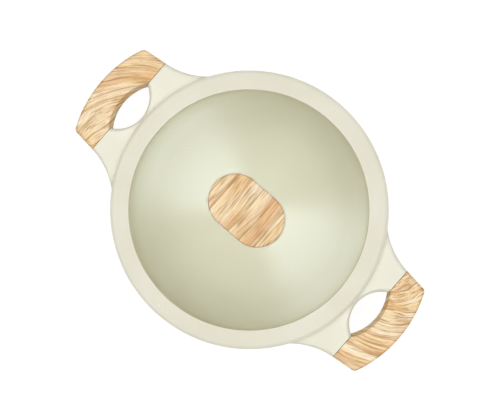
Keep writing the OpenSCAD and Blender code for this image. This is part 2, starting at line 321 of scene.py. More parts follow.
@dataclass(frozen=True)
class CreamCoat:
    """Sprayed cream ceramic over cast aluminium, or cream resin: satin, with a faint peel.

    Inside a pot's bowl the coat is painted paler: painted light that lifts the bowl's shaded
    inside.
    """

    name: str
    bowl: Optional[Bowl] = None
    light: tuple = tone(231, 228, 210)
    dark: tuple = tone(227, 223, 203)
    # Paler tones for the bowl's inside: painted light that lifts its shade.
    lit_inner_pale: tuple = tone(243, 240, 222)
    lit_inner_deep: tuple = tone(239, 235, 215)
    fleck: tuple = tone(196, 184, 152)
    gloss_low: float = 0.34
    gloss_high: float = 0.46
    peel: float = 0.00002

    def material(self) -> bpy.types.Material:
        """Builds the finish."""
        paint = Paint(self.name)
        cloud = paint.noise(14.0, 3.0)
        speck = paint.noise(2600.0, 1.0)
        mottle = cloud.ramp(0.3, 0.7)
        colour = paint.blend(mottle, self.light, self.dark)
        # Painted light: the bowl's inside takes the paler tones, which lift its shade.
        if self.bowl:
            inner = paint.blend(mottle, self.lit_inner_pale, self.lit_inner_deep)
            colour = paint.blend(self.bowl.inside(paint), colour, inner)
        colour = paint.blend(speck.ramp(0.66, 0.8, 0.0, 0.12), colour, self.fleck)
        peel = paint.noise(420.0, 2.0) + paint.noise(1500.0, 1.0) * 0.25
        rough = paint.noise(60.0, 2.0).ramp(0.3, 0.7, self.gloss_low, self.gloss_high)
        return paint.plain(
            Base_Color=colour,
            Roughness=rough,
            Normal=paint.relief(peel, self.peel),
            Coat_Weight=0.12,
            Coat_Roughness=0.25,
        )


@dataclass(frozen=True)
class SoftSilicone:
    """Moulded cream silicone: matt, a little dusty, with a fine tooth."""

    name: str
    light: tuple = tone(236, 232, 214)
    dark: tuple = tone(231, 227, 207)
    dusty: tuple = tone(250, 248, 240)

    def material(self) -> bpy.types.Material:
        """Builds the finish."""
        paint = Paint(self.name)
        colour = paint.blend(paint.noise(22.0, 4.0).ramp(0.32, 0.68), self.light, self.dark)
        dust = paint.noise(3200.0, 0.0).ramp(0.72, 0.8, 0.0, 0.2)
        colour = paint.blend(dust, colour, self.dusty)
        rough = paint.noise(35.0, 3.0).ramp(0.3, 0.7, 0.52, 0.66)
        tooth = paint.noise(2400.0, 2.0)
        return paint.plain(
            Base_Color=colour,
            Roughness=rough,
            Normal=paint.relief(tooth, 0.000012),
            Sheen_Weight=0.05,
            Sheen_Roughness=0.4,
        )


@dataclass(frozen=True)
class AshGrain:
    """A printed ash-wood pattern: growth lines run on circles about an upright axis.

    Each growth line darkens slowly and ends sharply. Streaks and hairs lie between, short pores
    follow them, and one broader band is darker than the rest.
    """

    name: str
    centre: tuple[float, float]
    typical: float
    seed: float
    heart: float
    heart_depth: float = 0.5
    heart_half: float = 7.0 * MM
    spacing: float = 9.0 * MM
    lean: float = 0.35
    sway: float = 17.0 * MM
    pale: tuple = tone(253, 237, 202)
    honey: tuple = tone(246, 216, 164)
    rust: tuple = tone(216, 152, 80)
    brown: tuple = tone(165, 110, 38)

    def material(self) -> bpy.types.Material:
        """Builds the finish."""
        paint = Paint(self.name)
        x, y, z = paint.axes()
        across, over = x - self.centre[0], y - self.centre[1]
        reach = across.hypot(over)
        along = over.maths("ARCTAN2", across) * self.typical + self.seed
        plain = reach + z * self.lean
        level = plain + self.seed
        drift = paint.noise(1.0, 1.0, paint.point(level * 46.0, along * 13.0, self.seed))
        ripple = paint.noise(1.0, 2.0, paint.point(level * 300.0, along * 55.0, 4.0))
        place = level + (drift - 0.5) * self.sway + (ripple - 0.5) * (self.sway * 0.07)
        growth = (place / self.spacing).maths("FRACT")
        patch = paint.noise(1.0, 1.0, paint.point(level * 110.0, along * 30.0, 9.0))
        stain = paint.noise(1.0, 2.0, paint.point(level * 75.0, along * 22.0, 6.0))
        heart = ((plain - self.heart) / self.heart_half).maths("ABSOLUTE").ramp(1.0, 0.3)
        line = (growth**11.0) * growth.ramp(1.0, 0.975) * patch.ramp(0.3, 0.58, 0.3, 1.0)
        glow = (growth**2.2) * growth.ramp(1.0, 0.93) * stain.ramp(0.36, 0.62)
        core = heart * stain.ramp(0.2, 0.6, 0.4, 1.0) * self.heart_depth
        warm = (glow * 0.75).maths("MAXIMUM", core)
        streak = paint.noise(1.0, 1.0, paint.point(place * 430.0, along * 24.0, 3.0))
        hair = paint.noise(1.0, 1.0, paint.point(place * 1000.0, along * 48.0, 5.0))
        fibre = paint.noise(1.0, 3.0, paint.point(level * 2200.0, along * 120.0, z * 60.0), 0.65)
        pore = paint.noise(1.0, 1.0, paint.point(level * 2600.0, along * 380.0, z * 150.0))
        pores = pore.ramp(0.56, 0.7) * growth.ramp(0.1, 0.9, 0.4, 1.0)
        cloud = paint.noise(1.0, 2.0, paint.point(level * 120.0, along * 14.0, 2.0))
        colour = paint.blend(cloud.ramp(0.35, 0.65), self.pale, self.honey)
        layers = (
            (warm, self.rust),
            (streak.ramp(0.48, 0.68, 0.0, 0.5), self.rust),
            (hair.ramp(0.48, 0.66, 0.0, 0.66), self.brown),
            (line * 0.95, self.brown),
            (fibre.ramp(0.4, 0.7, 0.0, 0.2), self.brown),
            (pores * 0.45, self.brown),
        )
        for share, tint in layers:
            colour = paint.blend(share, colour, tint)
        rough = fibre.ramp(0.3, 0.7, 0.42, 0.58)
        height = fibre * 0.5 + (1.0 - line) * 0.8 + (1.0 - pores) * 0.5
        return paint.plain(
            Base_Color=colour,
            Roughness=rough,
            Normal=paint.relief(height, 0.00003),
            Coat_Weight=0.08,
            Coat_Roughness=0.3,
        )


@dataclass(frozen=True)
class ClearGlass:
    """Tempered glass with a faint waviness; lamps' rays pass it, so that what it covers is lit."""

    name: str
    tint: tuple = tone(252, 253, 250)
    shade: tuple = tone(251, 252, 248)

    def material(self) -> bpy.types.Material:
        """Builds the finish."""
        paint = Paint(self.name)
        wave = paint.noise(9.0, 1.0)
        glass = paint.shader(
            Base_Color=self.tint,
            Roughness=0.0,
            IOR=1.5,
            Transmission_Weight=1.0,
            Normal=paint.relief(wave, 0.00012),
        )
        open_air = paint.add("ShaderNodeBsdfTransparent", {}, {0: self.shade})
        path = paint.add("ShaderNodeLightPath", {}, {})
        surface = glass
        for ray in ("Is Shadow Ray", "Is Diffuse Ray"):
            sides = {0: path.out(ray), 1: surface.out(), 2: open_air.out()}
            surface = paint.add("ShaderNodeMixShader", {}, sides)
        return paint.done(surface)


@dataclass(frozen=True)
class TurnedMetal:
    """Metal turned on a lathe: fine grooves on circles about an upright axis."""

    name: str
    light: tuple
    dark: tuple
    centre: tuple[float, float] = (0.0, 0.0)
    grooves: float = 2600.0
    rough_low: float = 0.24
    rough_high: float = 0.42

    def material(self) -> bpy.types.Material:
        """Builds the finish."""
        paint = Paint(self.name)
        x, y, z = paint.axes()
        across, over = x - self.centre[0], y - self.centre[1]
        reach = across.hypot(over)
        groove = paint.noise(1.0, 2.0, paint.point(reach * self.grooves, z * 500.0, 0.0))
        stain = paint.noise(30.0, 4.0)
        colour = paint.blend(groove.ramp(0.3, 0.7), self.light, self.dark)
        colour = paint.blend(stain.ramp(0.45, 0.75, 0.0, 0.25), colour, self.dark)
        rough = groove.ramp(0.3, 0.7, self.rough_low, self.rough_high)
        return paint.plain(
            Base_Color=colour,
            Metallic=1.0,
            Roughness=rough,
            Normal=paint.relief(groove, 0.000008),
        )


def plainly_seen(nodes: Nodes) -> Value:
    """1 for what is seen straight or through glass, and 0 for what only lights a piece."""
    path = nodes.add("ShaderNodeLightPath", {}, {})
    return path.value("Is Camera Ray").maths("MAXIMUM", path.value("Is Transmission Ray"))


@dataclass(frozen=True)
class StudioPaper:
    """The pale floor. It shows brighter than it lights, so shadows on it stay faint."""

    name: str
    glow: float = 0.72
    bounce: float = 0.3
    grey: tuple = (0.4, 0.4, 0.4, 1.0)
    paler: tuple = (0.42, 0.42, 0.42, 1.0)

    def material(self) -> bpy.types.Material:
        """Builds the finish."""
        paint = Paint(self.name)
        colour = paint.blend(paint.noise(3.0, 2.0), self.grey, self.paler)
        paper = paint.shader(Base_Color=colour, Roughness=0.9)
        seen = plainly_seen(paint)
        strength = seen * self.glow + (1.0 - seen) * self.bounce
        light = paint.add("ShaderNodeEmission", {}, {"Strength": strength})
        return paint.done(paint.add("ShaderNodeAddShader", {}, {0: paper.out(), 1: light.out()}))


# Mesh work


def rounded(corners: Sequence[tuple[float, float, float]], closed: bool = False) -> list[tuple]:
    """A line through corners, each rounded by an arc.

    Args:
        corners: for each corner its two coordinates and its radius, 0 for a sharp one.
        closed: whether the last corner joins the first.

    Returns:
        The line's points.
    """
    per_quarter = 7
    places = [complex(a, b) for a, b, _ in corners]
    line: list[complex] = []
    for i, (here, (_, _, radius)) in enumerate(zip(places, corners)):
        if radius <= 0.0 or (not closed and i in (0, len(corners) - 1)):
            line.append(here)
            continue
        back, ahead = places[i - 1] - here, places[(i + 1) % len(places)] - here
        back, ahead = back / abs(back), ahead / abs(ahead)
        turn = np.angle(ahead / back)
        half = abs(turn) / 2.0
        middle = here + (back + ahead) / abs(back + ahead) * radius / math.sin(half)
        spoke = here + back * radius / math.tan(half) - middle
        sweep = (math.pi - 2.0 * half) * (-1.0 if turn > 0 else 1.0)
        steps = max(2, round(per_quarter * abs(sweep) / (math.pi / 2.0)))
        line += [middle + spoke * np.exp(1j * sweep * k / steps) for k in range(steps + 1)]
    return [(p.real, p.imag) for p in line]


def placed(name: str, data: bpy.types.ID) -> bpy.types.Object:
    """A new object in the scene, at the origin."""
    piece = bpy.data.objects.new(name, data)
    bpy.context.scene.collection.objects.link(piece)
    return piece


def skin(
    name: str, rows: np.ndarray, around: bool, along: bool, capped: bool = False
) -> bpy.types.Object:
    """Joins rows of points with quads into a closed shell.

    Args:
        name: the piece's name.
        rows: rows of points, each point three coordinates.
        around: whether each row's last point joins its first.
        along: whether the last row joins the first.
        capped: whether the first and last rows are closed with a face each.

    Returns:
        The object, with its doubles merged and its faces pointing outwards.
    """
    rows = np.asarray(rows, float)
    count, wide = rows.shape[:2]
    faces = []
    for i in range(count if along else count - 1):
        for j in range(wide if around else wide - 1):
            k, m = (i + 1) % count, (j + 1) % wide
            faces.append((i * wide + j, i * wide + m, k * wide + m, k * wide + j))
    if capped:
        faces.append(tuple(range(wide)))
        faces.append(tuple(range((count - 1) * wide, count * wide)))
    mesh = bpy.data.meshes.new(name)
    mesh.from_pydata(rows.reshape(-1, 3).tolist(), [], faces)
    piece = placed(name, mesh)
    clean(piece)
    return piece


def clean(piece: bpy.types.Object) -> None:
    """Merges doubles, drops faces of no size and turns the faces outwards."""
    shape = bmesh.new()
    shape.from_mesh(piece.data)
    bmesh.ops.remove_doubles(shape, verts=shape.verts, dist=MERGE)
    bmesh.ops.dissolve_degenerate(shape, edges=shape.edges, dist=MERGE)
    bmesh.ops.recalc_face_normals(shape, faces=shape.faces)
    shape.to_mesh(piece.data)
    shape.free()


def turned(name: str, profile: Row, steps: int, closed: bool = False) -> bpy.types.Object:
    """A piece turned about the Z axis.

    Args:
        name: the piece's name.
        profile: its half section, as radius and height.
        steps: how many sides it has.
        closed: whether the section is a ring clear of the axis.

    Returns:
        The piece.
    """
    radius, height = np.array(profile).T
    angles = np.linspace(0.0, 2.0 * math.pi, steps, endpoint=False)[:, None]
    rows = np.stack(
        [radius * np.cos(angles), radius * np.sin(angles), height + 0.0 * angles], axis=-1
    )
    return skin(name, rows, around=closed, along=True)


def baked(piece: bpy.types.Object) -> bpy.types.Object:
    """Turns a piece's modifiers into plain mesh."""
    graph = bpy.context.evaluated_depsgraph_get()
    mesh = bpy.data.meshes.new_from_object(piece.evaluated_get(graph), depsgraph=graph)
    piece.modifiers.clear()
    piece.data = mesh
    return piece


def combine(piece: bpy.types.Object, tool: bpy.types.Object, how: str) -> None:
    """Joins or cuts a piece with another shell, which is used up.

    Args:
        piece: what is changed.
        tool: the shell that is joined on or cut away.
        how: the Boolean modifier's operation.
    """
    step = piece.modifiers.new(how.lower(), "BOOLEAN")
    step.operation = how
    step.solver = "MANIFOLD"
    step.object = tool
    baked(piece)
    bpy.data.objects.remove(tool)
    clean(piece)


def shade(piece: bpy.types.Object, crease: float = 32.0) -> None:
    """Smooth shading, with edges sharper than crease degrees kept, weighted by face size."""
    piece.data.shade_smooth()
    piece.data.set_sharp_from_angle(angle=math.radians(crease))
    weigh = piece.modifiers.new("weighted", "WEIGHTED_NORMAL")
    weigh.keep_sharp = True
    baked(piece)


def moved(piece: bpy.types.Object, matrix: Matrix) -> bpy.types.Object:
    """Moves a piece's mesh and leaves its object at the origin."""
    piece.data.transform(matrix)
    piece.data.update()
    return piece


def mirrored(name: str, piece: bpy.types.Object) -> bpy.types.Object:
    """A copy on the other side of the YZ plane, with its faces pointing outwards."""
    twin = placed(name, piece.data.copy())
    moved(twin, Matrix.Scale(-1.0, 4, (1.0, 0.0, 0.0)))
    twin.data.flip_normals()
    return twin


def hand_over(
    piece: bpy.types.Object, body: Body, slot: Slot, material: bpy.types.Material, *stands_for: str
) -> None:
    """Dresses a finished piece and sets it on the frame.

    Args:
        piece: the piece, in place.
        body: the body it moves with.
        slot: the record's slot that the log names for it.
        material: its finish.
        stands_for: the CAD nodes it replaces.
    """
    piece.data.materials.clear()
    piece.data.materials.append(material)
    if stands_for:
        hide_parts(*stands_for)
    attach(piece, body.value)
    faces = len(piece.data.polygons)
    log.info("%s on %s in %s: %d faces", piece.name, body.value, slot.value, faces)


def dress_node(frame: dict, node: str, material: bpy.types.Material) -> None:
    """Gives a CAD node whose shape is right a better material."""
    piece = frame["nodes"][node]
    for i in range(len(piece.material_slots)):
        piece.material_slots[i].link = "OBJECT"
        piece.material_slots[i].material = material
    log.info("%s keeps its CAD shape in %s", node, material.name)


class Shape(Enum):
    """What a pattern repeats."""

    PEG = "GeometryNodeMeshCylinder"
    BLOCK = "GeometryNodeMeshCube"


@dataclass(frozen=True)
class Pattern:
    """A peg or a block that repeats about the Z axis, in groups a fixed turn apart.

    A group's copies lie an equal step apart, and its middle is at the group's own angle.
    """

    shape: Shape
    wide: float
    low: float
    high: float
    reach: float
    count: int
    step: float
    groups: int = 1
    start: float = 0.0
    long: float = 0.0
    sides: int = 40

    def sizes(self) -> dict[str, Union[int, float]]:
        """The tree's named inputs and their values."""
        return {
            "Count": self.count,
            "Groups": self.groups,
            "Step": self.step,
            "Start": self.start,
            "Reach": self.reach,
            "Middle": (self.low + self.high) / 2.0,
            "Wide": self.wide,
            "Long": self.long,
            "Tall": self.high - self.low,
        }

    def tree(self) -> tuple[bpy.types.NodeTree, dict[str, str]]:
        """Builds the Geometry Nodes tree.

        Returns:
            The tree, and each named input's identifier.
        """
        tree = bpy.data.node_groups.new("pattern", "GeometryNodeTree")
        tree.interface.new_socket("Geometry", in_out="OUTPUT", socket_type="NodeSocketGeometry")
        named = {}
        for name, value in self.sizes().items():
            kind = "NodeSocketInt" if isinstance(value, int) else "NodeSocketFloat"
            socket = tree.interface.new_socket(name, in_out="INPUT", socket_type=kind)
            named[name] = socket.identifier
        nodes = Nodes(tree)
        given = nodes.add("NodeGroupInput", {}, {})
        count, groups = given.value("Count"), given.value("Groups")
        index = nodes.add("GeometryNodeInputIndex", {}, {}).value()
        within = index.maths("FLOORED_MODULO", count) - (count - 1.0) * 0.5
        group = (index / count).maths("FLOOR")
        turn = within * given.value("Step") + group * (2.0 * math.pi) / groups
        turn = turn + given.value("Start")
        place = {
            0: turn.maths("COSINE") * given.value("Reach"),
            1: turn.maths("SINE") * given.value("Reach"),
            2: given.value("Middle"),
        }
        at = nodes.add("ShaderNodeCombineXYZ", {}, place)
        spots = {"Count": count * groups, "Position": at.out()}
        points = nodes.add("GeometryNodePoints", {}, spots)
        wide, tall = given.value("Wide"), given.value("Tall")
        if self.shape is Shape.PEG:
            sizes = {"Vertices": self.sides, "Radius": wide * 0.5, "Depth": tall}
        else:
            box = nodes.add("ShaderNodeCombineXYZ", {}, {0: given.value("Long"), 1: wide, 2: tall})
            sizes = {"Size": box.out()}
        copy = nodes.add(self.shape.value, {}, sizes)
        euler = nodes.add("ShaderNodeCombineXYZ", {}, {2: turn})
        turned_to = nodes.add("FunctionNodeEulerToRotation", {}, {0: euler.out()})
        spread = nodes.add(
            "GeometryNodeInstanceOnPoints",
            {},
            {"Points": points.out(), "Instance": copy.out("Mesh"), "Rotation": turned_to.out()},
        )
        real = nodes.add("GeometryNodeRealizeInstances", {}, {0: spread.out()})
        painted = nodes.add("GeometryNodeSetMaterial", {}, {"Geometry": real.out()})
        nodes.add("NodeGroupOutput", {}, {0: painted.out()})
        return tree, named

    def build(self, name: str) -> bpy.types.Object:
        """Makes the copies as one plain mesh."""
        piece = placed(name, bpy.data.meshes.new(name))
        tree, named = self.tree()
        modifier = piece.modifiers.new("pattern", "NODES")
        modifier.node_group = tree
        for label, value in self.sizes().items():
            modifier[named[label]] = value
        return baked(piece)


# Handles


def eased(share: np.ndarray) -> np.ndarray:
    """A smooth step of a share from 0 to 1."""
    share = np.clip(share, 0.0, 1.0)
    return share * share * (3.0 - 2.0 * share)


def edge_drop(distance: np.ndarray, radius: float) -> np.ndarray:
    """How far a rounded edge falls, at a distance inside it."""
    inside = np.clip(radius - distance, 0.0, radius)
    return radius - np.sqrt(radius * radius - inside * inside)


def arc_radius(half: float, depth: float) -> float:
    """A circle's radius from half a chord and the arc's depth."""
    return (half * half + depth * depth) / (2.0 * depth)


@dataclass
class Handle:
    """The plan of one handle, on the +X side: a lug, a seam and a grip about a finger gap."""

    rim_r: float
    seam_x: float
    seam_gap: float
    half_w: float
    reach_x: float
    low: float
    high: float
    flare: float = math.radians(6.5)
    arm_w: float = 26.3 * MM
    bridge: float = 4.2 * MM
    gap_in_grip: float = 8.0 * MM
    edge_r: float = 118.0 * MM
    corner_r: float = 4.5 * MM
    round_out: float = 3.6 * MM
    round_gap: float = 4.2 * MM
    round_grip_gap: float = 1.6 * MM
    gap_draft: float = 1.6 * MM
    root_fillet: float = 6.0 * MM
    sunk: float = 4.5 * MM
    rise_from: float = 0.3
    edge_steps: int = 7
    face_steps: int = 8
    edge_most: float = 0.45

    @classmethod
    def from_frame(cls) -> "Handle":
        """Takes the places that the frame gives."""
        low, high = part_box("grip_right")
        seam_gap = 0.5 * MM
        seam_x = low.x - seam_gap
        rim_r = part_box("pot_body")[1].y
        half_w = high.y + seam_gap * math.tan(cls.flare)
        return cls(rim_r, seam_x, seam_gap, half_w, high.x, low.z, high.z)

    @property
    def gap_half(self) -> float:
        """Half the finger gap's width at the seam."""
        return self.half_w - self.arm_w

    @property
    def out(self) -> complex:
        """The straight side's outward direction in plan."""
        return complex(math.sin(self.flare), math.cos(self.flare))

    @property
    def corner(self) -> complex:
        """The seam's outer corner in plan."""
        return complex(self.seam_x, self.half_w)

    def lug_gap(self) -> tuple[complex, float]:
        """Centre and radius of the finger gap's arc in the lug."""
        depth = self.seam_x - self.rim_r - self.bridge
        radius = arc_radius(self.gap_half, depth)
        return complex(self.seam_x - depth + radius, 0.0), radius

    def grip_gap(self) -> tuple[complex, float]:
        """Centre and radius of the finger gap's arc in the grip."""
        radius = arc_radius(self.gap_half, self.gap_in_grip)
        return complex(self.seam_x + self.gap_in_grip - radius, 0.0), radius

    def lug_curve(self) -> tuple[complex, float]:
        """Centre and radius of the hollow curve between the rim and the handle's side."""
        corner, out = self.corner, self.out
        lead = (corner * out.conjugate()).real
        radius = (abs(corner) ** 2 - self.rim_r**2) / (2.0 * (self.rim_r - lead))
        return corner + out * radius, radius

    def section(
        self, upper: np.ndarray, top: np.ndarray, lower: np.ndarray, bottom: np.ndarray
    ) -> np.ndarray:
        """Rows of closed sections from two plan grids and their heights.

        Args:
            upper: the upper face's plan, stations by places across, as complex numbers.
            top: its heights.
            lower: the lower face's plan.
            bottom: its heights.

        Returns:
            The rows for skin.
        """
        wall_steps = 4
        share = np.linspace(0.0, 1.0, wall_steps + 1)[1:-1]

        def wall(start: np.ndarray, end: np.ndarray) -> np.ndarray:
            """The points of a side wall between two columns."""
            return start + (end - start) * share

        def ring(over: np.ndarray, under: np.ndarray) -> np.ndarray:
            """The upper row, a wall down, the lower row back and a wall up."""
            down, up = wall(over[:, -1:], under[:, -1:]), wall(under[:, :1], over[:, :1])
            return np.concatenate([over, down, under[:, ::-1], up], axis=1)

        plan = ring(upper, lower)
        return np.stack([plan.real, plan.imag, ring(top, bottom)], axis=-1)

    def spread(self, length: np.ndarray, ends: tuple[float, float]) -> np.ndarray:
        """Shares across a section, closer together in its rounded edges.

        Args:
            length: each section's length, as a column.
            ends: the rounding at its two ends.

        Returns:
            A row of shares from 0 to 1 for each station.
        """
        bend = 1.0 - np.cos(np.linspace(0.0, math.pi / 2.0, self.edge_steps))
        first = np.minimum(bend * ends[0] / length, self.edge_most * bend)
        last = 1.0 - np.minimum(bend * ends[1] / length, self.edge_most * bend)[:, ::-1]
        middle = np.linspace(0.0, 1.0, self.face_steps)[1:-1]
        between = first[:, -1:] + (last[:, :1] - first[:, -1:]) * middle
        return np.concatenate([first, between, last], axis=1)

    def lug_plan(self) -> np.ndarray:
        """Stations of the lug's upper half plan, from the seam to the X axis."""
        at_seam, onward = 1.0 - np.cos(np.linspace(0.0, 0.9, 16)), np.linspace(0.4, 1.0, 60)
        stations = np.concatenate([at_seam, onward])
        middle, radius = self.lug_curve()
        start, end = np.angle(self.corner - middle), np.angle(-middle)
        end += 2.0 * math.pi if end - start > math.pi else 0.0
        end -= 2.0 * math.pi if start - end < -math.pi else 0.0
        side_end, sunk_end, short = 0.66, 0.74, 0.93
        run = np.clip(stations / side_end, 0.0, 1.0) * short
        side = middle + radius * np.exp(1j * (start + (end - start) * run))
        sunk = np.clip((stations - side_end) / (sunk_end - side_end), 0.0, 1.0)
        back = np.clip((stations - sunk_end) / (1.0 - sunk_end), 0.0, 1.0)
        reach = abs(side[-1]) + (self.rim_r - self.sunk - abs(side[-1])) * sunk
        wall = reach * np.exp(1j * np.angle(side[-1]) * (1.0 - back))
        outer = np.where(stations <= side_end, side, wall)
        gap, gap_r = self.lug_gap()
        first = np.angle(complex(self.seam_x, self.gap_half) - gap)
        inner = gap + gap_r * np.exp(1j * (first + (math.pi - first) * stations))
        share = self.spread(np.abs(outer - inner)[:, None], (self.round_gap, self.round_out))
        straight = inner[:, None] + (outer - inner)[:, None] * share
        reach = np.abs(inner)[:, None] + (np.abs(outer) - np.abs(inner))[:, None] * share
        angle = np.angle(inner)[:, None] + (np.angle(outer) - np.angle(inner))[:, None] * share
        bent = eased(stations / side_end)[:, None]
        return straight * (1.0 - bent) + reach * np.exp(1j * angle) * bent

    def lug(self, name: str, rim_top: float, lip_low: float, wall_r: float) -> bpy.types.Object:
        """The lug as a closed shell that runs into the pot's wall.

        Args:
            name: the shell's name.
            rim_top: the height of the pot's rim.
            lip_low: the height of the rim's lower edge, to which the lug's underside rises.
            wall_r: the wall's outer radius at the lug's underside.

        Returns:
            The shell.
        """
        half = self.lug_plan()
        plan = np.concatenate([half, half[-2::-1].conjugate()])
        gap, gap_r = self.lug_gap()
        middle, radius = self.lug_curve()
        upper = np.where(plan.imag < 0.0, plan.conjugate(), plan)
        in_gap = np.abs(upper - gap) - gap_r
        in_side = np.abs(upper - middle) - radius
        drop = edge_drop(in_gap, self.round_gap) + edge_drop(in_side, self.round_out)
        from_rim = np.maximum(np.abs(plan) - self.rim_r, 0.0)
        from_wall = np.maximum(np.abs(plan) - wall_r, 0.0)
        step = rim_top - self.high
        top = self.high - drop + edge_drop(from_rim, step) * (drop < step)
        bottom = self.low + drop - edge_drop(from_wall, self.root_fillet)
        ends = np.angle(self.corner), abs(np.angle(middle))
        toward = (np.abs(np.angle(plan)) - ends[0]) / (ends[1] - ends[0])
        bottom += eased((toward - self.rise_from) / (1.0 - self.rise_from)) * (lip_low - self.low)
        rows = self.section(plan, top, plan, bottom)
        return skin(name, rows, around=True, along=False, capped=True)

    def grip_outline(self) -> tuple[np.ndarray, complex]:
        """The grip's upper half edge, from the seam to the X axis, and its outer arc's centre."""
        run = complex(math.cos(self.flare), -math.sin(self.flare))
        start = self.corner + run * (self.seam_gap / run.real)
        hub = complex(self.reach_x - self.edge_r, 0.0)
        lead = self.corner - self.out * self.corner_r - hub
        lean = (lead * run.conjugate()).real
        rest = abs(lead) ** 2 - (self.edge_r - self.corner_r) ** 2
        knuckle = hub + lead + run * (math.sqrt(lean * lean - rest) - lean)
        bend_from, bend_to = np.angle(self.out), np.angle(knuckle - hub)
        short, long = 14, 40
        side = start + (knuckle + self.out * self.corner_r - start) * np.linspace(0.0, 1.0, short)
        bend = knuckle + self.corner_r * np.exp(1j * np.linspace(bend_from, bend_to, short)[1:])
        edge = hub + self.edge_r * np.exp(1j * np.linspace(bend_to, 0.0, long)[1:])
        return np.concatenate([side, bend, edge]), hub

    def grip_face(self, draft: float, round_gap: float) -> tuple[np.ndarray, np.ndarray]:
        """One face of the grip over its whole plan.

        Args:
            draft: how far its edge at the finger gap lies behind the gap's narrowest line.
            round_gap: the rounding of that edge.

        Returns:
            The plan, and how far the face falls at each place.
        """
        outer, hub = self.grip_outline()
        walk = np.concatenate([[0.0], np.cumsum(np.abs(np.diff(outer)))])
        gap, gap_r = self.grip_gap()
        gap_r += draft
        first = math.acos((self.seam_x + self.seam_gap - gap.real) / gap_r)
        inner = gap + gap_r * np.exp(1j * first * (1.0 - walk / walk[-1]))
        share = self.spread(np.abs(outer - inner)[:, None], (round_gap, self.round_out))
        plan = inner[:, None] + (outer - inner)[:, None] * share
        from_side = ((self.corner - plan) * self.out.conjugate()).real
        from_edge = self.edge_r - np.abs(plan - hub)
        near = np.maximum(self.corner_r - np.stack([from_side, from_edge]), 0.0)
        in_corner = self.corner_r - np.hypot(near[0], near[1])
        within = np.where(near.min(axis=0) > 0.0, in_corner, np.minimum(from_side, from_edge))
        in_gap = np.maximum(np.abs(plan - gap) - gap_r, 0.0)
        drop = edge_drop(np.maximum(within, 0.0), self.round_out) + edge_drop(in_gap, round_gap)
        whole = np.concatenate([plan, plan[-2::-1].conjugate()])
        return whole, np.concatenate([drop, drop[-2::-1]])

    def grip(self, name: str) -> bpy.types.Object:
        """The grip as a closed shell."""
        upper, fall = self.grip_face(self.gap_draft, self.round_grip_gap)
        lower, rise = self.grip_face(0.0, self.round_grip_gap)
        rows = self.section(upper, self.high - fall, lower, self.low + rise)
        return skin(name, rows, around=True, along=False, capped=True)


# Pot


@dataclass
class Pot:
    """The cast pot with its lugs, grips, base disc and the casting in the disc's perforations."""

    handle: Handle
    height: float
    disc_r: float
    disc_t: float
    mouth_r: float = 120.0 * MM
    lip_h: float = 9.0 * MM
    wall: float = 4.0 * MM
    floor: float = 6.0 * MM
    lean: float = math.tan(math.radians(1.7))
    floor_fillet: float = 21.0 * MM
    stud_d: float = 5.0 * MM
    stud_ring_r: float = 28.0 * MM
    stud_ring_step: float = 24.0 * MM
    stud_rings: int = 3
    studs_more: int = 8
    stud_root: float = 0.6 * MM
    head_clear: float = 0.75 * MM

    @classmethod
    def from_frame(cls) -> "Pot":
        """Takes the places that the frame gives."""
        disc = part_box("base_disc")[1]
        return cls(Handle.from_frame(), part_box("pot_body")[1].z, disc.x, disc.z)

    def wall_r(self, height: float) -> float:
        """The wall's outer radius at a height."""
        return self.mouth_r + self.wall - (self.height - height) * self.lean

    def shell(self) -> bpy.types.Object:
        """The round pot without its lugs."""
        top, lip = self.height, self.height - self.lip_h
        rim_r = self.handle.rim_r
        inner = self.mouth_r - (top - self.floor) * self.lean
        profile = rounded(
            [
                (0.0, self.floor, 0.0),
                (inner, self.floor, self.floor_fillet),
                (self.mouth_r, top, 1.6 * MM),
                (rim_r, top, 2.2 * MM),
                (rim_r, lip, 1.8 * MM),
                (self.wall_r(lip), lip - 1.6 * MM, 3.0 * MM),
                (self.wall_r(0.0), 0.0, self.floor_fillet + self.wall),
                (self.disc_r, 0.0, 0.3 * MM),
                (self.disc_r, self.disc_t, 0.0),
                (0.0, self.disc_t, 0.0),
            ]
        )
        return turned("pot_casting", profile, 320)

    def studs(self, ring: int) -> bpy.types.Object:
        """One ring of the casting's studs, which fill the disc's perforations."""
        count = self.studs_more * (ring + 1)
        step = 2.0 * math.pi / count
        reach = self.stud_ring_r + ring * self.stud_ring_step
        top = self.disc_t + self.stud_root
        return Pattern(
            Shape.PEG, self.stud_d, 0.0, top, reach, count, step, start=step / 2.0, sides=24
        ).build(f"studs_{ring}")

    def screw_recesses(self) -> bpy.types.Object:
        """What the four screw heads' recesses take off the grips."""
        low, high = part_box("grip_screw_right_back")
        middle = (low + high) / 2.0
        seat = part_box("grip_washer_right_back")[1].z
        wide = high.x - low.x + 2.0 * self.head_clear
        step = 2.0 * math.atan2(middle.y, middle.x)
        reach = math.hypot(middle.x, middle.y)
        low_end = self.handle.low - MM
        return Pattern(Shape.PEG, wide, low_end, seat, reach, 2, step, 2).build("recesses")

    def build(self) -> None:
        """Builds and dresses the pot's pieces."""
        bowl = Bowl(self.mouth_r, self.height, self.lean, self.floor, self.floor_fillet, self.wall)
        coat = CreamCoat("ceramic_coat", bowl).material()
        body = self.shell()
        handle = self.handle
        lip_low = self.height - self.lip_h
        lug = handle.lug("lug_right", self.height, lip_low, self.wall_r(handle.low))
        twin = mirrored("lug_left", lug)
        for part in (lug, twin, *map(self.studs, range(self.stud_rings))):
            combine(body, part, "UNION")
        shade(body)
        hand_over(body, Body.POT, Slot.COATING, coat, "pot_body")
        grip = handle.grip("wood_grip_right")
        twin = mirrored("wood_grip_left", grip)
        right = AshGrain("ash_right", (0.135, 0.052), 0.06, 0.37, heart=0.1346)
        left = AshGrain("ash_left", (-0.095, -0.050), 0.08, 0.71, heart=0.1352)
        for piece, finish, node in ((grip, right, "grip_right"), (twin, left, "grip_left")):
            combine(piece, self.screw_recesses(), "DIFFERENCE")
            shade(piece)
            hand_over(piece, Body.POT, Slot.WOOD, finish.material(), node)


# Lid


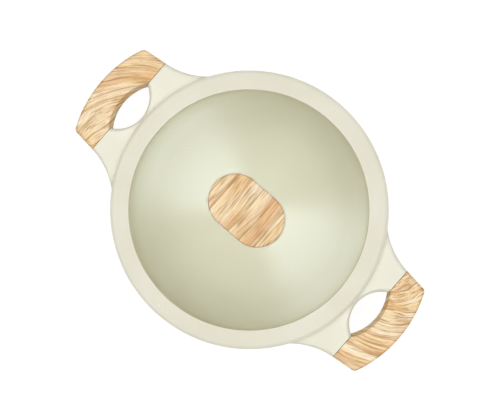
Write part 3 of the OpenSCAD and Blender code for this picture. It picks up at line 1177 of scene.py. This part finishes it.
@dataclass
class Lid:
    """The domed glass in its silicone rim."""

    glass_r: float
    crown: float
    cover_r: float
    lip_top: float
    skirt_low: float
    rim_top: float
    mouth_r: float
    glass_t: float = 4.0 * MM
    hole_r: float = 5.0 * MM
    glass_soft: float = 0.8 * MM
    rim_step: float = 0.35 * MM
    edge_step: float = 0.5 * MM
    rise: float = 24.0 * MM
    lip_t: float = 1.6 * MM
    edge_t: float = 3.4 * MM
    edge_fall: float = 1.9 * MM
    brow_in: float = 2.6 * MM
    brow_up: float = 0.8 * MM
    grip_w: float = 8.2 * MM
    skirt_t: float = 3.5 * MM
    skirt_clear: float = 1.6 * MM
    slot_w: float = 5.0 * MM
    slot_step: float = math.radians(5.0)
    dimple_d: float = 2.0 * MM
    dimple_inset: float = 2.0 * MM
    dimple_step: float = math.radians(2.5)
    dimple_floor: float = 6.07 * MM
    per_side: int = 3

    @classmethod
    def from_frame(cls, pot: Pot) -> "Lid":
        """Takes the places that the frame gives."""
        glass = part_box("lid_glass")[1]
        low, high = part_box("lid_rim")
        return cls(glass.x, glass.z, high.x, high.z, low.z, pot.height, pot.mouth_r)

    @property
    def dome_r(self) -> float:
        """Radius of the dome's outer sphere."""
        return arc_radius(self.glass_r, self.rise)

    def dome_z(self, radius: float, under: bool = False) -> float:
        """Height of the glass at a distance from the axis, on its outer or its under side."""
        sphere = self.dome_r - (self.glass_t if under else 0.0)
        return self.crown - self.dome_r + math.sqrt(sphere * sphere - radius * radius)

    def glass(self) -> bpy.types.Object:
        """The glass dome with its centre hole."""
        soft = self.glass_soft
        radii = np.linspace(self.hole_r + soft, self.glass_r - soft, 56)
        outside = [(r, self.dome_z(r)) for r in radii]
        inside = [(r, self.dome_z(r, under=True)) for r in radii[::-1]]

        def edge(radius: float, start: tuple, end: tuple, rise: float, back: float) -> list[tuple]:
            """The rounded way round an edge, without its ends.

            Args:
                radius: the edge's radius.
                start: the last point of the face it leaves.
                end: the first point of the face it meets.
                rise: how far above start its first corner lies.
                back: how far above end its second corner lies.

            Returns:
                The points.
            """
            bevel = soft * 0.4
            corners = [(radius, start[1] + rise, bevel), (radius, end[1] + back, bevel)]
            return rounded([(*start, 0.0), *corners, (*end, 0.0)])[1:-1]

        rim = edge(self.glass_r, outside[-1], inside[0], -self.rim_step, self.edge_step)
        hole = edge(self.hole_r, inside[-1], outside[0], self.edge_step, -self.edge_step)
        return turned("glass_dome", outside + rim + inside + hole, 288, closed=True)

    def rim(self) -> bpy.types.Object:
        """The silicone rim that holds the glass edge and plugs the mouth."""
        inner, top = self.glass_r - self.grip_w, self.rim_top
        groove = np.linspace(inner, self.glass_r, 5)
        lower_r = inner + 1.5 * MM
        skirt_r = self.mouth_r - self.skirt_clear
        skirt_in = skirt_r - self.skirt_t
        shoulder = self.dome_z(self.glass_r) + self.lip_t
        back = np.linspace(self.glass_r, lower_r, 5)
        upper_face = [(r, self.dome_z(r), 0.0) for r in groove]
        lower_face = [(r, self.dome_z(r, under=True), 0.0) for r in back]
        lower_z = lower_face[-1][1]
        profile = rounded(
            [
                *upper_face,
                *lower_face,
                (lower_r, lower_z - self.lip_t, 0.6 * MM),
                (skirt_in, top - 0.2 * MM, 1.0 * MM),
                (skirt_in, self.skirt_low, 1.2 * MM),
                (skirt_r, self.skirt_low, 1.2 * MM),
                (skirt_r, top, 0.5 * MM),
                (self.cover_r, top, 0.8 * MM),
                (self.cover_r, top + self.edge_t - self.edge_fall, 1.6 * MM),
                (self.cover_r - self.brow_in, top + self.edge_t + self.brow_up, 5.0 * MM),
                (self.glass_r, shoulder, 20.0 * MM),
                (inner, self.lip_top, 0.7 * MM),
            ],
            closed=True,
        )
        return turned("silicone_rim", profile, 360, closed=True)

    def slots(self) -> bpy.types.Object:
        """What the pouring slots take off the skirt, at the front and at the back."""
        middle = self.mouth_r - self.skirt_clear - self.skirt_t / 2.0
        low, high = self.skirt_low - MM, self.rim_top - MM
        return Pattern(
            Shape.BLOCK, self.slot_w, low, high, middle, self.per_side, self.slot_step,
            groups=2, start=math.pi / 2.0, long=self.skirt_t + 2.0 * MM,
        ).build("slots")

    def dimples(self) -> bpy.types.Object:
        """What the dimples take off the rim, over the pouring slots."""
        low, high = self.rim_top + self.dimple_floor, self.lip_top
        reach = self.glass_r + self.dimple_inset
        return Pattern(
            Shape.PEG, self.dimple_d, low, high, reach, self.per_side, self.dimple_step,
            groups=2, start=math.pi / 2.0, sides=24,
        ).build("dimples")

    def build(self) -> None:
        """Builds and dresses the lid's pieces."""
        glass, rim = self.glass(), self.rim()
        for cutter in (self.slots(), self.dimples()):
            combine(rim, cutter, "DIFFERENCE")
        shade(glass, 50.0)
        shade(rim, 40.0)
        hand_over(glass, Body.LID, Slot.GLASS, ClearGlass("clear_glass").material(), "lid_glass")
        silicone = SoftSilicone("cream_silicone").material()
        hand_over(rim, Body.LID, Slot.SILICONE, silicone, "lid_rim")


# Knob


@dataclass
class Knob:
    """The cream knob body with its wood-look plate."""

    foot_z: float
    tray_top: float
    half_l: float
    half_w: float
    plate_half_l: float
    plate_half_w: float
    plate_low: float
    plate_top: float
    foot_r: float = 15.0 * MM
    foot_h: float = 4.0 * MM
    neck_r: float = 12.0 * MM
    neck_h: float = 15.0 * MM
    insert_r: float = 4.5 * MM
    insert_l: float = 12.0 * MM
    head_h: float = 2.0 * MM
    head_clear: float = 0.4 * MM
    plate_clear: float = 0.12 * MM
    tray_side: float = 3.5 * MM
    neck_root: float = 5.0 * MM
    points: int = 192

    @classmethod
    def from_frame(cls) -> "Knob":
        """Takes the places that the frame gives."""
        low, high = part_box("knob_base")
        plate_low, plate_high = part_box("knob_plate")
        plate = plate_high.x, plate_high.y, plate_low.z, plate_high.z
        return cls(low.z, high.z, high.x, high.y, *plate)

    def oblong(self, straight: float, radius: float, height: float) -> np.ndarray:
        """A level ring with round ends, its points on rays from the axis.

        Args:
            straight: half the length of its straight sides.
            radius: the radius of its ends.
            height: its height.

        Returns:
            The ring's points.
        """
        turn = np.linspace(0.0, 2.0 * math.pi, self.points, endpoint=False)
        run, rise = np.abs(np.cos(turn)), np.abs(np.sin(turn))
        on_side = radius * run <= straight * rise
        flat = radius / np.maximum(rise, 1e-9)
        bend = straight * run + np.sqrt(np.maximum(radius**2 - (straight * rise) ** 2, 0.0))
        reach = np.where(on_side, flat, bend)
        return np.stack([reach * np.cos(turn), reach * np.sin(turn), height + 0.0 * turn], axis=-1)

    def stack(self, name: str, levels: Sequence[tuple[float, float, float]]) -> bpy.types.Object:
        """A closed shell from oblong rings, each a straight half, a radius and a height."""
        rows = np.stack([self.oblong(*level) for level in levels])
        return skin(name, rows, around=True, along=False)

    def body(self) -> bpy.types.Object:
        """The foot, the neck and the tray."""
        straight = self.half_l - self.half_w
        tray_low = self.foot_z + self.neck_h
        outline = rounded(
            [
                (0.0, self.foot_z + self.insert_l, 0.0),
                (self.insert_r, self.foot_z + self.insert_l, 0.0),
                (self.insert_r, self.foot_z, 0.3 * MM),
                (self.foot_r, self.foot_z, 0.4 * MM),
                (self.foot_r, self.foot_z + self.foot_h * 0.55, 1.2 * MM),
                (self.neck_r, self.foot_z + self.foot_h, 3.0 * MM),
                (self.neck_r, tray_low, 4.0 * MM),
                (self.half_w, tray_low, 3.0 * MM),
                (self.half_w, self.tray_top, 0.7 * MM),
                (self.plate_half_w + self.plate_clear, self.tray_top, 0.25 * MM),
                (self.plate_half_w + self.plate_clear, self.plate_low, 0.0),
                (0.0, self.plate_low, 0.0),
            ]
        )
        levels = []
        for i, (radius, height) in enumerate(outline):
            grown = (radius - self.neck_r) / (self.half_w - self.neck_r)
            share = float(eased(np.array(grown)))
            under = height < tray_low - self.neck_root
            if height >= self.tray_top - self.tray_side or i > len(outline) // 2:
                share = min(1.0, radius / self.plate_half_w)
            levels.append((0.0 if under else straight * share, radius, height))
        return self.stack("knob_stem", levels)

    def plate(self) -> bpy.types.Object:
        """The wood-look plate, with a soft upper edge."""
        straight = self.plate_half_l - self.plate_half_w
        outline = rounded(
            [
                (0.0, self.plate_low, 0.0),
                (self.plate_half_w, self.plate_low, 0.3 * MM),
                (self.plate_half_w, self.plate_top, 1.4 * MM),
                (0.0, self.plate_top, 0.0),
            ]
        )
        levels = [(straight * min(1.0, r / self.plate_half_w), r, z) for r, z in outline]
        return self.stack("knob_top", levels)

    def screw_recesses(self) -> bpy.types.Object:
        """What the plate screws' heads take off the tray, from below."""
        low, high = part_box("plate_screw_right")
        wide = high.x - low.x + 2.0 * self.head_clear
        tray_low = self.foot_z + self.neck_h
        reach = (low.x + high.x) / 2.0
        seat = low.z + self.head_h
        pegs = Pattern(Shape.PEG, wide, tray_low - MM, seat, reach, 1, 0.0, 2)
        return pegs.build("plate_recesses")

    def build(self) -> None:
        """Builds and dresses the knob's pieces."""
        body, plate = self.body(), self.plate()
        combine(body, self.screw_recesses(), "DIFFERENCE")
        shade(body, 40.0)
        shade(plate, 40.0)
        resin = CreamCoat("cream_resin", peel=0.00001).material()
        grain = AshGrain(
            "ash_knob", (-2.0, 0.0), 2.0, 1.999,
            heart=2.0765, heart_depth=0.75, spacing=12.6 * MM, sway=6.0 * MM,
        )
        hand_over(body, Body.LID, Slot.RESIN, resin, "knob_base")
        hand_over(plate, Body.LID, Slot.WOOD, grain.material(), "knob_plate")


# Studio


@dataclass
class Studio:
    """A white floor, a soft sky with two broad bright wedges overhead, and the camera."""

    rim_top: float
    turn: float = math.radians(40.7)
    tilt_right: float = math.radians(2.1)
    tilt_up: float = math.radians(0.5)
    aim_right: float = 1.0 * MM
    distance: float = 1.0765
    lens: float = 85.0
    wedge_turn: float = math.radians(5.0)
    side_level: float = 0.28
    wedge_level: float = 2.7
    dark_level: float = 1.15
    under_level: float = 0.6
    back_level: float = 1.3
    shine_more: float = 1.5
    low_band: tuple = (0.75, 0.5)
    under_band: tuple = (-0.05, -0.3)
    wedge_band: tuple = (0.1, 0.95)
    card_band: tuple = (0.3, 0.95)
    zenith_band: tuple = (0.76, 0.9, -0.5, 0.0)
    tiny: float = 0.0001
    light_tone: tuple = (0.8, 0.8, 0.8, 1.0)
    shine_tone: tuple = (0.74, 0.8, 0.84, 1.0)

    def floor(self) -> None:
        """A broad sheet that the pot stands on."""
        half, steps = 4.0, 9
        ticks = np.linspace(-half, half, steps)
        rows = np.stack(np.broadcast_arrays(ticks[:, None], ticks[None, :], 0.0), axis=-1)
        sheet = skin("floor", rows, around=False, along=False)
        sheet.data.materials.append(StudioPaper("studio_paper").material())
        if sheet.data.polygons[0].normal.z < 0.0:
            sheet.data.flip_normals()

    def sky(self) -> None:
        """The light: bright low down all round, dark overhead but for two broad wedges."""
        world = bpy.data.worlds.new("studio")
        bpy.context.scene.world = world
        world.use_nodes = True
        nodes = Nodes(world.node_tree)
        way = nodes.add("ShaderNodeTexCoord", {}, {}).out("Generated")
        split = nodes.add("ShaderNodeSeparateXYZ", {}, {0: way})
        x, y, z = split.value("X"), split.value("Y"), split.value("Z")
        flat = x.hypot(y) + self.tiny
        along = (x * math.cos(self.wedge_turn) + y * math.sin(self.wedge_turn)) / flat
        wedge = (along * along).ramp(*self.wedge_band, self.dark_level, self.wedge_level)
        low, under = z.ramp(*self.low_band), z.ramp(*self.under_band)
        light = low * self.side_level + (1.0 - low) * wedge + under * self.under_level
        mirrored_in = nodes.add("ShaderNodeLightPath", {}, {}).value("Is Glossy Ray")
        card = (along * along).ramp(*self.card_band) * self.shine_more
        card = card + z.ramp(*self.zenith_band)
        light = light * (1.0 + mirrored_in * card * (1.0 - low))
        seen = plainly_seen(nodes)
        strength = light * (1.0 - seen) + seen * self.back_level
        hue = nodes.blend(mirrored_in, self.light_tone, self.shine_tone)
        back = nodes.add("ShaderNodeBackground", {}, {"Color": hue, "Strength": strength})
        nodes.add("ShaderNodeOutputWorld", {}, {"Surface": back.out()})

    def camera(self) -> None:
        """The camera, almost straight above and turned to the handles."""
        right = Vector((math.cos(self.turn), math.sin(self.turn), 0.0))
        up = Vector((-math.sin(self.turn), math.cos(self.turn), 0.0))
        aim = Vector((0.0, 0.0, self.rim_top)) + right * self.aim_right
        away = right * math.tan(self.tilt_right) + up * math.tan(self.tilt_up)
        back = (Vector((0.0, 0.0, 1.0)) + away).normalized()
        lens = bpy.data.cameras.new("camera")
        lens.lens = self.lens
        lens.clip_start, lens.clip_end = 0.01, 20.0
        camera = placed("camera", lens)
        side = up.cross(back).normalized()
        top = back.cross(side)
        turned_to = Matrix((side, top, back)).transposed()
        camera.matrix_world = Matrix.Translation(aim + back * self.distance) @ turned_to.to_4x4()
        bpy.context.scene.camera = camera

    def build(self) -> None:
        """Builds the studio."""
        self.floor()
        self.sky()
        self.camera()
        bpy.context.scene.view_settings.view_transform = "Standard"


def steel(name: str, centre: tuple[float, float] = (0.0, 0.0)) -> bpy.types.Material:
    """Stainless steel for a fastener or the base disc."""
    return TurnedMetal(name, tone(214, 214, 216), tone(176, 176, 180), centre).material()


def dress_small_parts(frame: dict) -> None:
    """Gives the CAD nodes that keep their shape their finishes."""
    silicone = SoftSilicone("gasket_silicone").material()
    bright = steel("bright_steel")
    brass = TurnedMetal("turned_brass", tone(226, 194, 118), tone(190, 152, 78)).material()
    for node in ("lid_bush", "knob_gasket"):
        dress_node(frame, node, silicone)
    dress_node(frame, "knob_insert", brass)
    for node in frame["nodes"]:
        if "screw" in node or "washer" in node:
            dress_node(frame, node, bright)
    dress_node(frame, "base_disc", steel("spun_disc"))


def corners(box: tuple[Vector, Vector]) -> list[list[float]]:
    """A box's two corners as plain lists."""
    return [list(corner) for corner in box]


def main() -> None:
    """Loads the frame and builds every piece around it."""
    logging.basicConfig(level=logging.INFO, format="%(name)s: %(message)s")
    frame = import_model()
    pot = Pot.from_frame()
    Studio(pot.height).build()
    pot.build()
    Lid.from_frame(pot).build()
    Knob.from_frame().build()
    dress_small_parts(frame)


if __name__ == "__main__":
    main()
